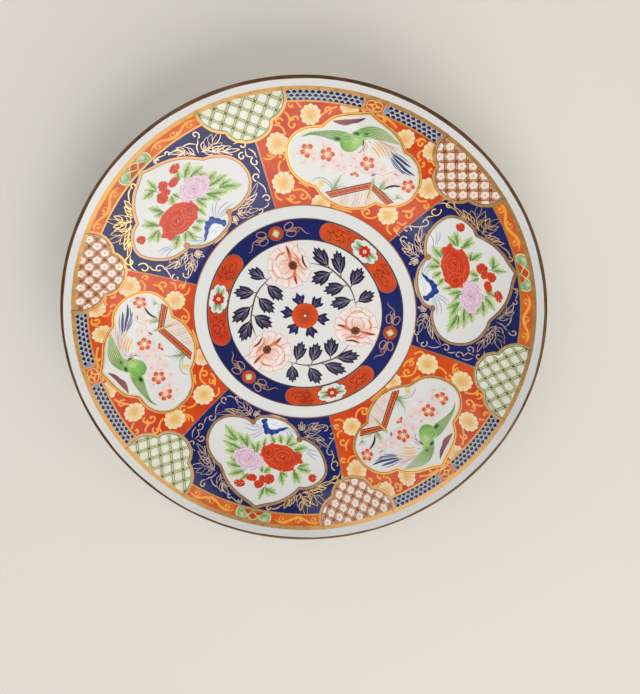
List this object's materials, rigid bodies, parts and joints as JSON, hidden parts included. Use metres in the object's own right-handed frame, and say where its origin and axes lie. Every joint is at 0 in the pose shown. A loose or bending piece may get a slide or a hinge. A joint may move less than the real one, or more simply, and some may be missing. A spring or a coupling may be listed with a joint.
{
  "type": "display plate",
  "caption": "Round coupe porcelain plate on a foot ring, with panelled floral, bird and brocade decoration in cobalt, iron red, enamels and gilding.",
  "frame": {"origin": "centre of the circle on which the foot ring rests", "axes": "+Z up out of the well along the plate's axis of revolution; +Y towards the top of the plate as it is displayed, +X to the right when looking down on the face with +Y up"},
  "size_m": [0.2603, 0.2602, 0.0396],
  "materials": {
    "porcelain": "bare fired porcelain, matt",
    "glaze": "clear gloss glaze over white porcelain",
    "edge_gilding": "worn bright gold line on the lip, brownish where thin",
    "gilding": "fired-on gold, satin to bright",
    "orange_enamel": "gloss overglaze colour",
    "green_enamel": "gloss overglaze colour",
    "slate_enamel": "gloss overglaze colour",
    "cream_enamel": "gloss overglaze colour",
    "blush_enamel": "gloss overglaze colour",
    "cobalt": "gloss underglaze cobalt",
    "iron_red": "gloss overglaze iron red",
    "yellow_enamel": "gloss overglaze colour",
    "lilac_enamel": "gloss overglaze colour",
    "leaf_enamel": "gloss overglaze colour",
    "blue_enamel": "gloss overglaze colour",
    "navy": "gloss underglaze cobalt, nearly black",
    "outline_brown": "fine fired outline"
  },
  "bodies": {
    "root": {"porcelain_body": "porcelain", "glaze_coat": "glaze", "rim_edge_gilding": "edge_gilding", "outer_gilt_line": "gilding", "inner_gilt_line": "gilding", "orange_border_segments": "orange_enamel", "green_border_medallions": "green_enamel", "scale_border_segments": "slate_enamel", "scale_border_motifs": "orange_enamel", "green_brocade_lappets": "cream_enamel", "red_brocade_lappets": "blush_enamel", "lappet_gilt_frames": "gilding", "cobalt_panels": "cobalt", "iron_red_panels": "iron_red", "panel_gilt_dividers": "gilding", "cobalt_panel_scrollwork": "gilding", "red_panel_chrysanthemums": "cream_enamel", "red_panel_vines": "yellow_enamel", "peony_cartouche_frames": "gilding", "red_peonies": "iron_red", "lilac_peonies": "lilac_enamel", "peony_leaves": "leaf_enamel", "garden_rocks": "blue_enamel", "bird_cartouche_frames": "gilding", "green_birds": "leaf_enamel", "bird_tail_feathers": "yellow_enamel", "plum_blossoms": "iron_red", "garden_fences": "iron_red", "ring_edge_lines": "outline_brown", "ring_cobalt_band": "cobalt", "ring_red_segments": "iron_red", "ring_flower_leaves": "leaf_enamel", "ring_flowers": "iron_red", "ring_knots": "orange_enamel", "centre_peonies": "blush_enamel", "centre_leaf_sprays": "navy", "centre_stems": "gilding", "centre_rosette": "iron_red", "rosette_leaves": "navy"}
  },
  "joints": []
}
